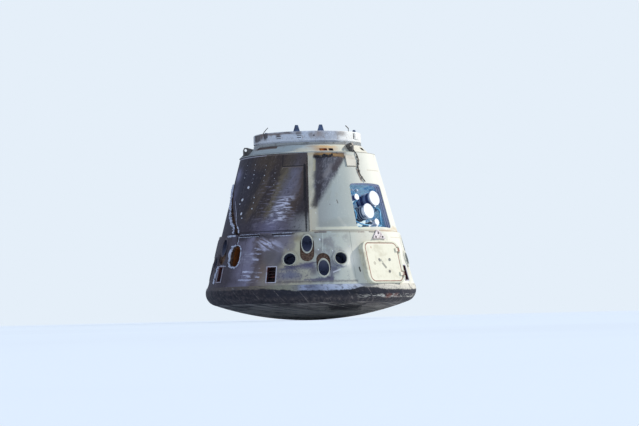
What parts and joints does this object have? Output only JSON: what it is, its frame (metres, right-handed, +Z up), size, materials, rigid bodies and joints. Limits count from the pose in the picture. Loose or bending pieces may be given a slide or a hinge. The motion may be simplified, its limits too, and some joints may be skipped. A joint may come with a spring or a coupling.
{
  "type": "space capsule",
  "caption": "Flown cargo capsule on its heat shield, with thruster ports, an open parachute bay, an equipment door and a hinged forward hatch.",
  "frame": {"origin": "lowest point of the heat shield's dome, on the capsule's axis", "axes": "+Z up through the berthing ring; -Y is the front, with the parachute bay to its right; +X is the viewer's right when facing the front"},
  "size_m": [3.6596, 3.6596, 3.328],
  "materials": {
    "charred_dome": "charred ablator, matt",
    "rim_tile": "charred tile with a pale upper band",
    "wall_skin": "cream thermal coating, charred on the left",
    "port_metal": "heat-darkened",
    "vent_liner": "red-brown inside, pale frame",
    "pocket_liner": "orange-brown, scorched",
    "frame_paint": "cream coating",
    "door_paint": "cream coating with a red-brown gasket line",
    "bay_liner": "pale blue",
    "mortar_metal": "grey and navy with white caps",
    "deck_paint": "pale grey coating, stained",
    "bare_metal": "bare, dull",
    "hatch_metal": "pale grey coating",
    "ring_metal": "anodised, scuffed",
    "tab_metal": "blue-grey",
    "lug_steel": "worn"
  },
  "bodies": {
    "capsule": {"bay_fittings": "mortar_metal", "berthing_ring": "ring_metal", "cabin_floor": "bare_metal", "cabin_wall_back_left": "wall_skin", "cabin_wall_back_right": "wall_skin", "cabin_wall_front": "wall_skin", "cabin_wall_left": "wall_skin", "cabin_wall_right": "wall_skin", "equipment_bay": "frame_paint", "guide_tabs": "tab_metal", "hatch_sill": "bare_metal", "heat_shield": "charred_dome", "lifting_lug_back": "lug_steel", "lifting_lug_left": "lug_steel", "lifting_lug_right": "lug_steel", "mortar_lower": "mortar_metal", "mortar_upper": "mortar_metal", "parachute_bay": "bay_liner", "riser_pocket": "pocket_liner", "service_wall_back": "wall_skin", "service_wall_front": "wall_skin", "service_wall_left": "wall_skin", "service_wall_right": "wall_skin", "shoulder_ring": "rim_tile", "stay_bracket": "lug_steel", "thruster_pod_back": "port_metal", "thruster_pod_front": "port_metal", "thruster_pod_left": "port_metal", "thruster_pod_right": "port_metal", "top_deck": "deck_paint", "vent_boxes": "vent_liner"},
    "equipment_door": {"equipment_door": "door_paint"},
    "forward_hatch": {"forward_hatch": "hatch_metal"}
  },
  "joints": [
    {"name": "equipment_door_hinge", "type": "hinge", "parent": "capsule", "child": "equipment_door", "pos_m": [1.55367, -0.9151, 0.95551], "axis": [-0.1765, 0.1704, 0.9694], "range_deg": [0, 110]},
    {"name": "forward_hatch_hinge", "type": "hinge", "parent": "capsule", "child": "forward_hatch", "pos_m": [0, 0.715, 3.133], "axis": [-1, 0, 0], "range_deg": [0, 110]}
  ]
}
